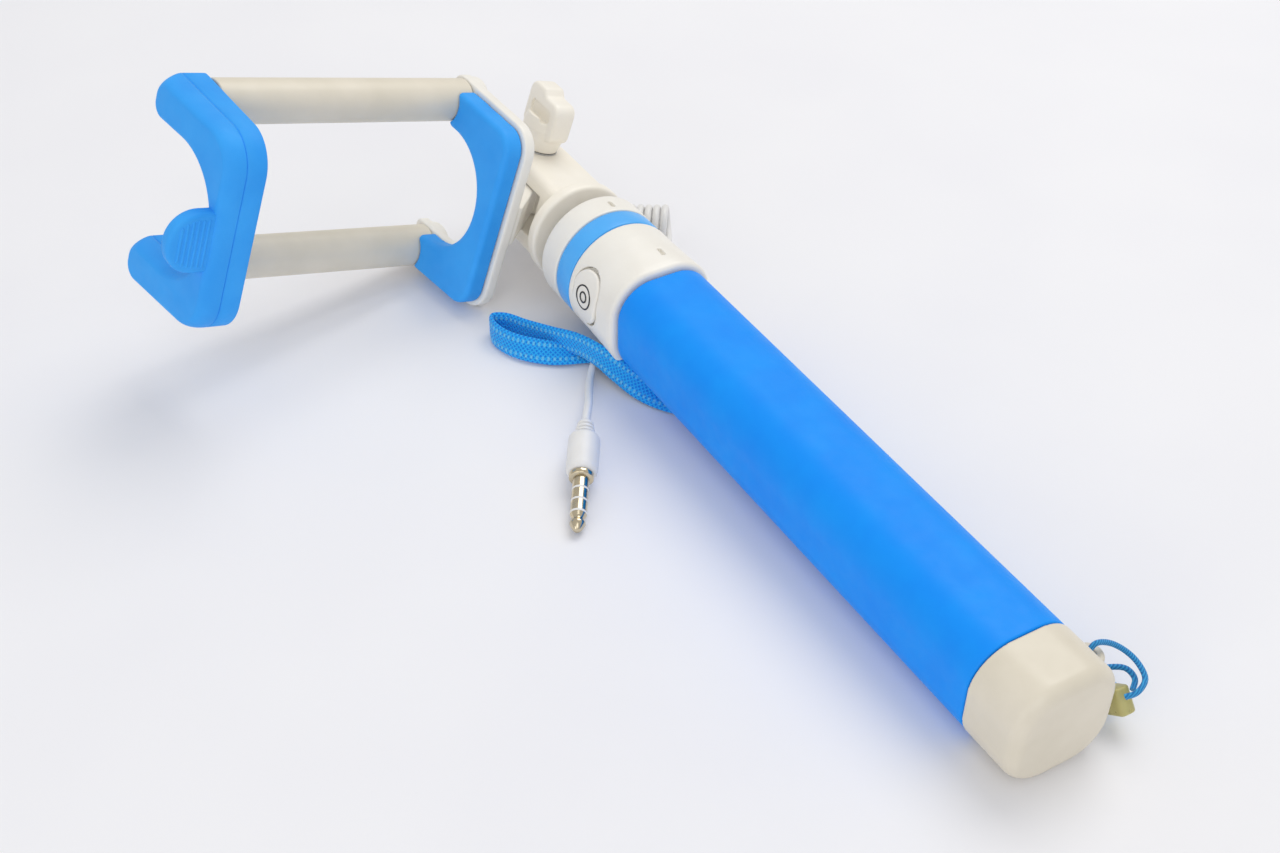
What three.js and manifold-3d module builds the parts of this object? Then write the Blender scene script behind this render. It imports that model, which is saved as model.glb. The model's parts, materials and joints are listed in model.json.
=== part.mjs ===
// A wired telescopic selfie stick, collapsed, lying on a table with its clamp swung to one side.
// Millimetres, +Z up. X runs from the handle's end cap to the head, and the clamp opens along +Y.
// The origin is under the middle of the stick, its cords left aside, on the table that it lies on.
import * as THREE from 'three'
import { mergeVertices } from 'three/addons/utils/BufferGeometryUtils.js'
import Module from 'manifold-3d'

const wasm = await Module()
wasm.setup()

// ---- Driving dimensions -------------------------------------------------------------------

const gap = 0.3                        // between pieces that touch on the real stick
const degree = Math.PI / 180

// How it lies: the pole axis rises to the head, and the head is turned in the handle.
const restTilt = 1.583 * degree
const headRoll = 18.92 * degree
const poleHeight = 15.236               // of the pole axis over the table, at the sleeve's head end
const toMiddle = { x: 31.5, y: -41.6 } // from the sleeve's head end to the middle of the stick

// Places along the pole axis, 0 at the sleeve's head end.
const cap = { start: -134.6, end: -121.2, half: 11.6, corner: 8.6, rounding: 2.8 }
const sleeve = { start: -120.9, end: -0.3, half: 11.5, corner: 8.5, wall: 1.5 }
const core = { start: -128, end: 29, outer: 9.6, wall: 0.7 }
const collar = { start: 0.3, round: 13, end: 18.2, half: 12.7, corner: 9.6, radius: 13.5 }
const ring = { start: 18.5, end: 24, radius: 13.4 }
const front = { start: 24.3, end: 31.5, radius: 13.5, rounding: 1.3 }
const bore = core.outer + gap          // of everything that sleeves the core

// The five sliding sections, from the widest to the narrowest.
const pole = { count: 5, widest: 7.8, step: 1.1, wall: 0.4, low: -110, nest: 2, mouth: 32.2, rise: 0.9 }
const bush = { length: 12, inside: 0.15, outside: 0.55 }

// The head: a flange, a forked block and the thumb screw's axis.
const pivot = 62.4
const hub = { flangeStart: 37, flangeEnd: 40, flange: 12.4, halfWide: 8.4, halfHigh: 9.3, rounding: 2 }
const fork = { base: 45, halfHigh: 5.2 }
const socketEnd = 43.6
const bolt = { radius: 1.9, clearance: 0.4 }
const knob = { low: 9.7, top: 24.6, neck: 4.2, shoulder: 5.6, halfLong: 6.8, halfThick: 2.8 }

// The clamp, in a frame of its own: origin on the thumb screw's axis, x towards the jaw,
// y towards the spine of its two C shapes, z up the thumb screw.
const clampSwing = 97 * degree
const opening = 60
const plate = { back: 19.2, face: 22, tip: -11, spine: 20.5, halfTip: 24.6, halfSpine: 23.3, corner: 6.5 }
const cutout = { half: 14.2, centre: -0.9 }
const padding = { back: plate.face + gap, face: 26.7, inset: 1.1, rounding: 1.3 }
const jaw = { face: padding.face + opening, thick: 9.2, tipThick: 11, split: 91.4, rounding: 1.9, inset: 0.4 }
const jawCutout = 1.7                  // the middle of the jaw's own round
const arm = { y: -6.1, z: 19.25, radius: 4.9, bore: 3.5, lip: 2.6, lipLength: 2.4 }
const boss = { back: 17.5, radius: 5.3 }
const lug = { eye: 7.5, halfHigh: 4.9, halfWide: 3.4, direction: 40.7 * degree }
const rod = { start: 30, radius: 2.3, head: 3.2, headLength: 2 }
const spring = { coil: 2.9, wire: 0.3, turns: 13, stepsPerTurn: 10 }

// The shutter button in the collar, over a switch on a small board.
const button = { x: 11.5, direction: 78 * degree, long: 9.4, round: 13, top: 13.9, rim: 0.8, rimTop: 12.4 }
const pocket = { start: 5.4, end: 17.5, radius: 12.7, halfWide: 7.8 }

// Cords.
const strapThick = 2.2
const loopThick = 1.1
const cableThick = 1.8
const cableCoil = { radius: 4.7 }

// ---- Colours ------------------------------------------------------------------------------

const finish = (color, roughness, metalness = 0) => new THREE.MeshStandardMaterial({ color, roughness, metalness })
const materials = {
  blueGrip: finish(0x1583f2, 0.5),
  blueRubber: finish(0x3f9bee, 0.55),
  bluePlastic: finish(0x3c94e6, 0.35),
  cream: finish(0xe9e6dd, 0.4),
  white: finish(0xf0eeea, 0.35),
  steel: finish(0xb9bcc0, 0.3, 1),
  nylonBlue: finish(0x0d84ef, 0.8),
  nylonTeal: finish(0x1b8fc6, 0.7),
  vinylWhite: finish(0xeceae6, 0.45),
  crimp: finish(0xd6cf9a, 0.4),
  board: finish(0x1f6b3c, 0.5),
  blackPlastic: finish(0x1c1d1f, 0.5),
  brass: finish(0xc9a75a, 0.35, 1),
  wire: finish(0x2a2a2c, 0.5)
}

// ---- Building blocks ----------------------------------------------------------------------

// A closed geometry as a solid that booleans can cut and join.
function solid (geometry) {
  geometry.deleteAttribute('normal')
  geometry.deleteAttribute('uv')
  const merged = mergeVertices(geometry, 1e-4)
  const vertProperties = new Float32Array(merged.attributes.position.array)
  const triVerts = new Uint32Array(merged.index.array)
  const made = new wasm.Manifold(new wasm.Mesh({ numProp: 3, vertProperties, triVerts }))
  if (made.volume() > 0) {
    return made
  }
  triVerts.reverse()
  return new wasm.Manifold(new wasm.Mesh({ numProp: 3, vertProperties, triVerts }))
}

function geometryOf (shape) {
  const mesh = shape.getMesh()
  const geometry = new THREE.BufferGeometry()
  geometry.setAttribute('position', new THREE.BufferAttribute(mesh.vertProperties, 3))
  geometry.setIndex(new THREE.BufferAttribute(mesh.triVerts, 1))
  return geometry
}

function piece (name, shape, material) {
  const geometry = geometryOf(shape)
  geometry.computeVertexNormals()
  const mesh = new THREE.Mesh(geometry, material)
  mesh.name = name
  return mesh
}

// A solid through rings of as many points each: capped at its ends, or joined end to start.
function loft (rings, joined = false) {
  const size = rings[0].length
  const positions = rings.flat().flatMap((point) => [point.x, point.y, point.z])
  const index = []
  const bands = joined ? rings.length : rings.length - 1
  for (let band = 0; band < bands; band++) {
    const here = band * size
    const next = ((band + 1) % rings.length) * size
    for (let i = 0; i < size; i++) {
      const j = (i + 1) % size
      index.push(here + i, here + j, next + j, here + i, next + j, next + i)
    }
  }
  if (!joined) {
    const last = (rings.length - 1) * size
    for (let i = 1; i < size - 1; i++) {
      index.push(0, i + 1, i, last, last + i, last + i + 1)
    }
  }
  const geometry = new THREE.BufferGeometry()
  geometry.setAttribute('position', new THREE.Float32BufferAttribute(positions, 3))
  geometry.setIndex(index)
  return solid(geometry)
}

// How far a rounded square reaches at an angle. At corner = half it is a circle.
function reach (angle, half, corner) {
  const quarter = Math.PI / 2
  const turn = ((angle % quarter) + quarter) % quarter
  const fold = Math.min(turn, quarter - turn)
  if (half * Math.tan(fold) <= half - corner) {
    return half / Math.cos(fold)
  }
  const centre = Math.SQRT2 * (half - corner)
  const off = fold - quarter / 2
  return centre * Math.cos(off) + Math.sqrt(corner ** 2 - (centre * Math.sin(off)) ** 2)
}

// A ring of points round the pole axis at x.
function ringAt (x, half, corner = half) {
  const sides = 48
  return Array.from({ length: sides }, (_, i) => {
    const angle = (i / sides) * 2 * Math.PI
    const radius = reach(angle, half, corner)
    return new THREE.Vector3(x, radius * Math.cos(angle), radius * Math.sin(angle))
  })
}

// A solid of revolution about the x axis, from a closed or axis-to-axis profile of [x, radius].
function turned (profile, sides = 48) {
  const points = profile.map(([x, radius]) => new THREE.Vector2(radius, x))
  const onAxis = profile[0][1] === 0
  if (!onAxis) {
    points.push(points[0].clone())
  }
  return solid(new THREE.LatheGeometry(points, sides).rotateZ(-Math.PI / 2))
}

const cylinder = (start, end, radius, sides) => turned([[start, 0], [start, radius], [end, radius], [end, 0]], sides)

const sleeveOf = (start, end, inner, outer, sides) =>
  turned([[start, inner], [start, outer], [end, outer], [end, inner]], sides)

// A box between two corners.
function block (low, high) {
  const size = high.map((value, i) => value - low[i])
  const middle = high.map((value, i) => (value + low[i]) / 2)
  return solid(new THREE.BoxGeometry(...size).translate(...middle))
}

// An outline with its corners rounded. A corner is [x, y, radius].
function rounded (corners, steps = 6) {
  const points = []
  corners.forEach(([x, y, radius], i) => {
    const corner = new THREE.Vector2(x, y)
    const before = corners[(i + corners.length - 1) % corners.length]
    const after = corners[(i + 1) % corners.length]
    const back = new THREE.Vector2(before[0], before[1]).sub(corner).normalize()
    const on = new THREE.Vector2(after[0], after[1]).sub(corner).normalize()
    const half = Math.acos(THREE.MathUtils.clamp(back.dot(on), -1, 1)) / 2
    if (!radius) {
      points.push(corner)
      return
    }
    const centre = back.clone().add(on).normalize().multiplyScalar(radius / Math.sin(half)).add(corner)
    const start = corner.clone().addScaledVector(back, radius / Math.tan(half)).sub(centre)
    const end = corner.clone().addScaledVector(on, radius / Math.tan(half)).sub(centre)
    const sweep = Math.atan2(start.cross(end), start.dot(end))
    for (let step = 0; step <= steps; step++) {
      points.push(start.clone().rotateAround(new THREE.Vector2(), sweep * step / steps).add(centre))
    }
  })
  return points
}

// An outline of x and y, raised from low to high along z, its edges rounded by bevel.
function prism (outline, low, high, bevel = 0, steps = 2) {
  const geometry = new THREE.ExtrudeGeometry(new THREE.Shape(outline), {
    depth: high - low - 2 * bevel,
    bevelEnabled: bevel > 0,
    bevelSize: bevel,
    bevelThickness: bevel,
    bevelOffset: -bevel,
    bevelSegments: steps
  })
  return solid(geometry.translate(0, 0, low + bevel))
}

// Turns an outline's x, y and depth into the clamp's y, z and x.
const toClamp = (shape) => shape.transform([0, 1, 0, 0, 0, 0, 1, 0, 1, 0, 0, 0, 0, 0, 0, 1])

// A round tube along a smooth curve through points.
function tubeAlong (curve, thick, steps, sides = 8) {
  const section = new THREE.Shape(Array.from({ length: sides }, (_, i) => {
    const angle = (i / sides) * 2 * Math.PI
    return new THREE.Vector2(Math.cos(angle), Math.sin(angle)).multiplyScalar(thick / 2)
  }))
  return solid(new THREE.ExtrudeGeometry(section, { steps, extrudePath: curve }))
}

const smooth = (points) => new THREE.CatmullRomCurve3(points.map((point) => new THREE.Vector3(...point)))

const add = (group, ...meshes) => meshes.forEach((mesh) => group.add(mesh))

// ---- Handle -------------------------------------------------------------------------------

function endCap () {
  const { start, end, half, corner, rounding } = cap
  const rounds = [0, 0.25, 0.5, 0.75, 1].map((share) => {
    const turn = share * Math.PI / 2
    const inset = rounding * (1 - Math.sin(turn))
    return ringAt(start + rounding * (1 - Math.cos(turn)), half - inset, corner - inset)
  })
  const coreEnd = core.start - gap
  const body = loft([...rounds, ringAt(end, half, corner), ringAt(end, bore), ringAt(coreEnd, bore)])
  const eyelet = { x: -124.4, y: -13.4, radius: 2.9, hole: 1.5, halfHigh: 2.2 }
  const tongue = prism(rounded([
    [eyelet.x + eyelet.radius, eyelet.y - eyelet.radius, eyelet.radius - 0.1],
    [eyelet.x + eyelet.radius, 1 - half, 0],
    [eyelet.x - eyelet.radius, 1 - half, 0],
    [eyelet.x - eyelet.radius, eyelet.y - eyelet.radius, eyelet.radius - 0.1]
  ]), -eyelet.halfHigh, eyelet.halfHigh)
  const hole = new THREE.CylinderGeometry(eyelet.hole, eyelet.hole, 4 * eyelet.halfHigh, 20)
  return body.add(tongue).subtract(solid(hole.rotateX(Math.PI / 2).translate(eyelet.x, eyelet.y, 0)))
}

function gripSleeve () {
  const { start, end, half, corner, wall } = sleeve
  const edge = 0.4
  return loft([
    ringAt(start, half - wall, corner - wall),
    ringAt(start, half - edge, corner - edge),
    ringAt(start + edge, half, corner),
    ringAt(end - edge, half, corner),
    ringAt(end, half - edge, corner - edge),
    ringAt(end, half - wall, corner - wall)
  ], true)
}

// A small dark slot, low to high along the pole axis, in the outside at a turn from straight up.
function slot (low, high, turn) {
  const depth = 1.2
  const halfWide = 0.5
  return block([low, -halfWide, front.radius - depth], [high, halfWide, front.radius + 1]).rotate([turn, 0, 0])
}

// An oval bar standing on the pole axis where the button is, wide by round.
function ovalBar (long, round) {
  const outline = rounded([
    [long / 2, round / 2, long / 2 - 0.05],
    [-long / 2, round / 2, long / 2 - 0.05],
    [-long / 2, -round / 2, long / 2 - 0.05],
    [long / 2, -round / 2, long / 2 - 0.05]
  ], 8)
  return prism(outline, 8, 20).translate([button.x, 0, 0])
}

// Turns what was made straight up to where the button is on the collar.
const toButton = (shape) => shape.rotate([-button.direction / degree, 0, 0])

function gripCollar () {
  const { start, round, end, half, corner, radius } = collar
  const shares = [0, 0.35, 0.7, 1]
  const blend = shares.map((share) => {
    const size = THREE.MathUtils.lerp(half, radius, share)
    return ringAt(start + share * (round - start), size, THREE.MathUtils.lerp(corner, radius, share))
  })
  const body = loft([ringAt(start, bore), ...blend, ringAt(end, radius), ringAt(end, bore)], true)
  const hollow = sleeveOf(pocket.start, pocket.end, bore - 1, pocket.radius)
    .intersect(block([0, -pocket.halfWide, 0], [end, pocket.halfWide, 20]))
  const hole = ovalBar(button.long + 2 * gap, button.round + 2 * gap)
  return body.subtract(toButton(hollow)).subtract(toButton(hole)).subtract(slot(4.6, 7.2, 14))
}

function frontRing () {
  const { start, end, radius, rounding } = front
  const mouth = pole.widest + gap
  const wallEnd = core.end + gap
  return turned([
    [start, bore],
    [start, radius],
    [end - rounding, radius],
    [end - rounding * 0.3, radius - rounding * 0.3],
    [end, radius - rounding],
    [end, mouth],
    [wallEnd, mouth],
    [wallEnd, bore]
  ]).subtract(slot(25.9, 28.3, 12))
}

function shutterButton () {
  const { long, round, top, rim, rimTop } = button
  const under = rimTop - 0.45
  const shell = (outer) => sleeveOf(0, 24, under, outer, 96)
  const cap = ovalBar(long, round).intersect(shell(top))
  const lip = ovalBar(long + 2 * rim, round + 2 * rim).intersect(shell(rimTop))
  return toButton(cap.add(lip))
}

function handle () {
  const group = new THREE.Group()
  const coreInner = core.outer - core.wall
  const board = { start: 5.8, end: 17.2, low: 10.05, high: 10.65, halfWide: 3.5 }
  const touchSwitch = { half: 2, high: 11.3 }
  add(group,
    piece('end_cap', endCap(), materials.cream),
    piece('grip_sleeve', gripSleeve(), materials.blueGrip),
    piece('handle_tube', sleeveOf(core.start, core.end, coreInner, core.outer), materials.blackPlastic),
    piece('grip_collar', gripCollar(), materials.white),
    piece('collar_ring', sleeveOf(ring.start, ring.end, bore, ring.radius), materials.bluePlastic),
    piece('collar_front', frontRing(), materials.white),
    piece('circuit_board', toButton(block(
      [board.start, -board.halfWide, board.low],
      [board.end, board.halfWide, board.high]
    )), materials.board),
    piece('tact_switch', toButton(block(
      [button.x - touchSwitch.half, -touchSwitch.half, board.high + 0.1],
      [button.x + touchSwitch.half, touchSwitch.half, touchSwitch.high]
    )), materials.blackPlastic),
    piece('shutter_button', shutterButton(), materials.white),
    piece('signal_wire', cylinder(-126, 42.6, 1.9, 12), materials.wire)
  )
  return group
}

// ---- Telescopic sections ------------------------------------------------------------------

function sections () {
  const group = new THREE.Group()
  for (let n = 0; n < pole.count; n++) {
    const radius = pole.widest - n * pole.step
    const inner = radius - pole.wall
    const low = pole.low + n * pole.nest
    const last = n === pole.count - 1
    const mouth = last ? socketEnd - gap : pole.mouth + n * pole.rise
    const lip = last ? inner : radius - pole.step + gap
    const tube = turned([[low, inner], [low, radius], [mouth, radius], [mouth, lip], [mouth - 3, lip], [mouth - 3, inner]]
      .filter((point, i) => !(last && i > 3)), 36)
    const ringInner = radius + bush.inside
    const ringShape = sleeveOf(low + 1, low + 1 + bush.length, ringInner, radius + bush.outside, 36)
    add(group,
      piece(`tube_${n + 1}`, tube, materials.steel),
      piece(`bush_${n + 1}`, ringShape, materials.blackPlastic)
    )
  }
  return group
}

// ---- Head ---------------------------------------------------------------------------------

const standingRod = (low, high, radius, sides) => cylinder(low, high, radius, sides).rotate([0, -90, 0])

function hubBlock () {
  const { flangeStart, flangeEnd, flange, halfWide, halfHigh, rounding } = hub
  const edge = 0.8
  const disc = turned([
    [flangeStart, 0],
    [flangeStart, flange - edge],
    [flangeStart + edge, flange],
    [flangeEnd - edge / 2, flange],
    [flangeEnd, flange - edge / 2],
    [flangeEnd, 0]
  ])
  const outline = rounded([
    [pivot + halfWide, halfWide, halfWide - 0.2],
    [flangeEnd - 1, halfWide, 0],
    [flangeEnd - 1, -halfWide, 0],
    [pivot + halfWide, -halfWide, halfWide - 0.2]
  ], 10)
  const socketRadius = pole.widest - (pole.count - 1) * pole.step + gap
  const nutPocket = prism(hexagon(3.5 + gap), -halfHigh - 1, -halfHigh + 2.6).translate([pivot, 0, 0])
  return prism(outline, -halfHigh, halfHigh, rounding, 3)
    .add(disc)
    .subtract(block([fork.base, -20, -fork.halfHigh], [pivot + 20, 20, fork.halfHigh]))
    .subtract(cylinder(flangeStart - 1, socketEnd, socketRadius))
    .subtract(standingRod(-20, 20, bolt.radius + bolt.clearance, 24).translate([pivot, 0, 0]))
    .subtract(nutPocket)
}

const hexagon = (across) => Array.from({ length: 6 }, (_, i) => {
  const angle = i * Math.PI / 3
  return new THREE.Vector2(Math.cos(angle), Math.sin(angle)).multiplyScalar(across / Math.cos(Math.PI / 6))
})

// The thumb screw's plastic wing: a round base, a waist and two lobes, the one at the head's end taller.
function thumbKnob () {
  const { low, top, neck, shoulder, halfLong, halfThick } = knob
  const waist = low + 5.6
  const base = turned([
    [low, 0],
    [low, neck],
    [waist, shoulder],
    [waist + 3, shoulder - 0.6],
    [waist + 3, 0]
  ], 32).rotate([0, -90, 0])
  const wing = prism(rounded([
    [-halfLong, waist - 2, 2],
    [halfLong, waist - 2, 2],
    [halfLong, top, 2.6],
    [0.6, top, 1],
    [-0.8, top - 1.6, 0.8],
    [-halfLong, top - 1.6, 2.4]
  ], 4), -halfThick, halfThick, 0.9).rotate([90, 0, 0])
  const dish = { depth: 0.8, halfLong: halfLong - 2.4, high: top - 4, low: waist + 2 }
  const recess = [1, -1].map((side) => prism(rounded([
    [-dish.halfLong, dish.low, 1.2],
    [dish.halfLong, dish.low, 1.2],
    [dish.halfLong, dish.high, 1.2],
    [-dish.halfLong, dish.high, 1.2]
  ], 3), 0, 2).rotate([90, 0, 0]).translate([0, side > 0 ? halfThick - dish.depth + 2 : dish.depth - halfThick, 0]))
  const boltHole = standingRod(0, low + 7, bolt.radius + gap, 24)
  return recess.reduce((body, dent) => body.subtract(dent), base.add(wing)).subtract(boltHole)
}

function head () {
  const group = new THREE.Group()
  const nutBase = hub.halfHigh - 2.3
  const nut = prism(hexagon(3.5), -hub.halfHigh + 0.1, -nutBase)
    .subtract(standingRod(-20, 20, bolt.radius + 0.2, 24))
    .translate([pivot, 0, 0])
  const washer = sleeveOf(hub.halfHigh + 0.05, knob.low - 0.05, bolt.radius + gap, 4.3, 28).rotate([0, -90, 0])
  const screw = standingRod(-hub.halfHigh + 0.4, knob.low + 6.6, bolt.radius, 24)
  add(group,
    piece('hub', hubBlock(), materials.cream),
    piece('hinge_nut', nut, materials.steel),
    piece('hinge_washer', washer.translate([pivot, 0, 0]), materials.steel),
    piece('hinge_bolt', screw.translate([pivot, 0, 0]), materials.steel),
    piece('thumb_knob', thumbKnob().translate([pivot, 0, 0]), materials.cream),
    piece('cable_gland', gland(), materials.vinylWhite)
  )
  return group
}

// The strain relief of the lead, on the block's far side.
function gland () {
  const outside = hub.halfWide + gap / 2
  const shape = turned([
    [outside, 0],
    [outside, 1.5],
    [outside + 1.2, 1.5],
    [outside + 2.2, 1.15],
    [outside + 2.2, 0]
  ], 20)
  return shape.rotate([0, 0, -90]).translate([41.9, 0, 0])
}

// ---- Clamp --------------------------------------------------------------------------------

// A C in the clamp's y and z: two arms that reach back to the tip, and a spine that joins them.
function cShape (tip, inset, corner, centre = cutout.centre, steps = 6) {
  const { spine, halfTip, halfSpine } = plate
  const { half } = cutout
  const bottom = centre + half
  const lean = (halfTip - halfSpine) / (spine - plate.tip)
  const outer = (y) => halfTip - inset - lean * (y - plate.tip)
  const edge = spine - inset
  return rounded([
    [tip, -half, corner.inner],
    [tip, -outer(tip), corner.tip],
    [edge, -outer(edge), corner.spine],
    [edge, outer(edge), corner.spine],
    [tip, outer(tip), corner.tip],
    [tip, half, corner.inner],
    [bottom, half, half - 0.2],
    [bottom, -half, half - 0.2]
  ], steps)
}

const onArm = (shape, side) => shape.translate([0, arm.y, side * arm.z])

function bracket () {
  const body = toClamp(prism(cShape(plate.tip, 0, { inner: 1.6, tip: 3.4, spine: plate.corner }), plate.back, plate.face, 0.5, 1))
  const bosses = [1, -1].map((side) => onArm(turned([
    [boss.back, 0],
    [boss.back, boss.radius - 1],
    [boss.back + 1, boss.radius],
    [plate.face - 0.6, boss.radius],
    [plate.face - 0.6, 0]
  ], 32), side))
  const bar = block([0, -lug.halfWide, -lug.halfHigh], [40, lug.halfWide, lug.halfHigh])
    .rotate([0, 0, lug.direction / degree])
    .intersect(block([0, -5, -10], [plate.face - 0.8, plate.spine - 0.4, 10]))
  return bosses.reduce((whole, part) => whole.add(part), body)
    .add(bar)
    .add(standingRod(-lug.halfHigh, lug.halfHigh, lug.eye, 40))
    .subtract(standingRod(-20, 20, bolt.radius + bolt.clearance, 24))
}

function pad () {
  const { back, face, inset, rounding } = padding
  const outline = cShape(-3.4, inset, { inner: 1.6, tip: 2, spine: plate.corner - inset })
  const body = toClamp(prism(outline, back - rounding, face, rounding, 2))
  const keep = block([back, -60, -60], [face + 1, 60, 60])
  const tubes = [1, -1].map((side) => onArm(cylinder(back - 2, face + 2, arm.radius + gap, 36), side))
  return tubes.reduce((whole, tube) => whole.subtract(tube), body.intersect(keep))
}

function armTube () {
  const start = plate.face + gap
  const end = jaw.face - gap
  const floor = start + 5
  return turned([
    [start, 0],
    [start, arm.radius],
    [end, arm.radius],
    [end, arm.lip],
    [end - arm.lipLength, arm.lip],
    [end - arm.lipLength, arm.bore],
    [floor, arm.bore],
    [floor, 0]
  ], 36)
}

function armSpring () {
  const { coil, wire, turns, stepsPerTurn } = spring
  const start = rod.start + rod.headLength + wire + 0.1
  const end = jaw.face - gap - arm.lipLength - wire - 0.1
  class Helix extends THREE.Curve {
    getPoint (share, target = new THREE.Vector3()) {
      const angle = share * turns * 2 * Math.PI
      return target.set(THREE.MathUtils.lerp(start, end, share), coil * Math.cos(angle), coil * Math.sin(angle))
    }
  }
  return tubeAlong(new Helix(), 2 * wire, turns * stepsPerTurn, 5)
}

// The whole moving jaw, before it is split into its two halves. It grows thicker towards its tips.
function jawWhole () {
  const { face, thick, tipThick, rounding, inset } = jaw
  const outline = cShape(plate.tip + 0.4, inset, { inner: 3, tip: 4, spine: 8.5 }, jawCutout)
  const grow = (tipThick / thick - 1) / (plate.spine - plate.tip)
  return toClamp(prism(outline, face, face + thick, rounding, 3)).warp((point) => {
    point[0] = face + (point[0] - face) * (1 + grow * (plate.spine - point[1]))
  })
}

function jawFront () {
  const rodRoom = [1, -1].map((side) => onArm(cylinder(jaw.face - 1, jaw.split, rod.radius + gap, 24), side))
  const half = jawWhole().intersect(block([0, -60, -60], [jaw.split - gap / 2, 60, 60]))
  return rodRoom.reduce((whole, room) => whole.subtract(room), half)
}

// The outer half, with the pull tab: a half disc standing off it at the spine.
function jawBack () {
  const back = jaw.face + jaw.thick
  const tab = { reach: 9.4, half: 7, low: 15.6, high: 18.8 }
  const outline = rounded([
    [back - 2, -tab.half, 0],
    [back + tab.reach, -tab.half, tab.half - 0.4],
    [back + tab.reach, tab.half, tab.half - 0.4],
    [back - 2, tab.half, 0]
  ], 8)
  const disc = prism(outline, tab.low, tab.high, 1, 2).rotate([90, 0, 0]).translate([0, tab.low + tab.high, 0])
  return jawWhole()
    .intersect(block([jaw.split + gap / 2, -60, -60], [200, 60, 60]))
    .add(disc)
}

function clamp () {
  const group = new THREE.Group()
  add(group,
    piece('bracket', bracket(), materials.white),
    piece('pad', pad(), materials.blueRubber),
    piece('jaw_front', jawFront(), materials.blueRubber),
    piece('jaw_back', jawBack(), materials.blueRubber)
  )
  const sides = { upper: 1, lower: -1 }
  for (const [name, side] of Object.entries(sides)) {
    const shaftStart = rod.start + rod.headLength + gap
    const shaft = cylinder(rod.start + 1, jaw.split - gap, rod.radius, 24)
    const rodHead = cylinder(rod.start, rod.start + rod.headLength, rod.head, 24)
    const nut = rodHead.subtract(cylinder(rod.start + 1 - gap, shaftStart, rod.radius + 0.15, 24))
    add(group,
      piece(`arm_tube_${name}`, onArm(armTube(), side), materials.white),
      piece(`clamp_spring_${name}`, onArm(armSpring(), side), materials.steel),
      piece(`guide_rod_${name}`, onArm(shaft, side), materials.steel),
      piece(`rod_nut_${name}`, onArm(nut, side), materials.brass)
    )
  }
  return group
}

// ---- Cords, placed from the point of the table under the sleeve's head end -----------------

// The wrist strap: from its crimp along the handle's far side, out under the collar and back.
const strapRoute = [
  [-127.9, -15.2, 3.1], [-122, -14.6, 3.5], [-114, -14.2, 3.6], [-98, -14.4, 3.6], [-80, -14.8, 3.6],
  [-60, -14.8, 3.6], [-42, -13.8, 3.4], [-30, -10.4, 2.2], [-20, -2.6, 1.5], [-12.4, 4.6, 1.7],
  [-6.4, 8.4, 2.8], [0, 10.6, 4.2], [6, 12.6, 4.8], [12.4, 14.2, 4.4], [19, 16.8, 3.8], [25.2, 19.8, 3.5],
  [30, 23, 3.5], [31.2, 26.4, 3.5], [27.6, 29.3, 3.4], [23, 29, 3.3], [19.2, 25.2, 3.2], [16.2, 21, 2.9],
  [14.2, 16.4, 2.2], [12.2, 11, 1.5], [7.6, 5, 1.25], [0, -1.6, 1.25], [-10, -9.4, 1.6], [-22, -15.6, 2.8],
  [-36, -18.4, 3.5], [-56, -18.8, 3.6], [-80, -18.8, 3.6], [-98, -18.6, 3.6], [-114, -18.4, 3.6],
  [-122, -18.2, 3.5], [-127.9, -17.9, 3.1]
]

// The thin cord that ties the strap to the cap: from the crimp up through the eyelet and back.
const loopRoute = [
  [-132.6, -15.6, 9.2], [-133.6, -17.2, 10.4], [-132.6, -19.8, 11.4], [-129.8, -20.6, 12.4],
  [-127, -20, 13.4], [-125, -17.6, 15], [-124.4, -14.6, 15.9], [-124.4, -13.4, 14.6], [-124.4, -13.4, 12.3],
  [-124.4, -13.5, 9.8], [-124.6, -15.8, 8.6], [-125.8, -18.6, 9], [-128, -19.9, 9.9], [-130.6, -19.6, 9.8],
  [-132, -17.9, 9.2]
]

// The lead: from the gland down to the table, then its coil, then under the collar to the plug.
const leadRoute = [
  [41.8, -11.3, 13.2], [42.6, -13.8, 13.3], [47, -17.6, 12.6], [53, -19.6, 10.8], [58.6, -21.2, 8.6],
  [60.9, -23.4, 6.8], [60.4, -25.1, 5.5], [58.2, -25.55, 5.2]
]
const coilRoute = [[57.4, -25.6, 5.2], [51, -26.8, 4.95], [44, -26.6, 4.9], [38, -25.4, 5]]
const tailRoute = [
  [37.6, -25.2, 4.6], [33, -22.4, 3.2], [26.4, -15.4, 1.6], [19.4, -7.6, 1.05], [14, -0.8, 1.05],
  [12.2, 4.4, 1.7], [11.2, 9.2, 3.7], [8.4, 12.4, 2.2], [4.2, 16, 1.7], [-1.4, 19.4, 2.8], [-7, 22.6, 5],
  [-12.4, 26.1, 6.4], [-14.3, 27.35, 6.75]
]
const plugRear = new THREE.Vector3(-14.6, 27.5, 6.8)
const plugTip = new THREE.Vector3(-38.6, 43.1, 1.7)

// A crimp that holds the strap's two ends and the thin cord's two ends.
function strapCrimp () {
  const long = 5.2
  const shape = prism(rounded([
    [-2.6, -1.7, 1],
    [2.6, -1.7, 1],
    [2.6, 1.7, 1],
    [-2.6, 1.7, 1]
  ], 3), -long / 2, long / 2, 0.4, 1)
  return shape.rotate([0, 38, 0]).translate([-130.4, -16.5, 5.9])
}

// The moulded plug body, along x from its strain relief to its front.
function plugBody (long) {
  return turned([
    [0, 0],
    [0, 1.5],
    [1.6, 2.2],
    [4, 2.6],
    [4.4, 3.2],
    [5.2, 3.4],
    [long - 1.2, 3.4],
    [long, 3],
    [long, 0]
  ], 24)
}

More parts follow.
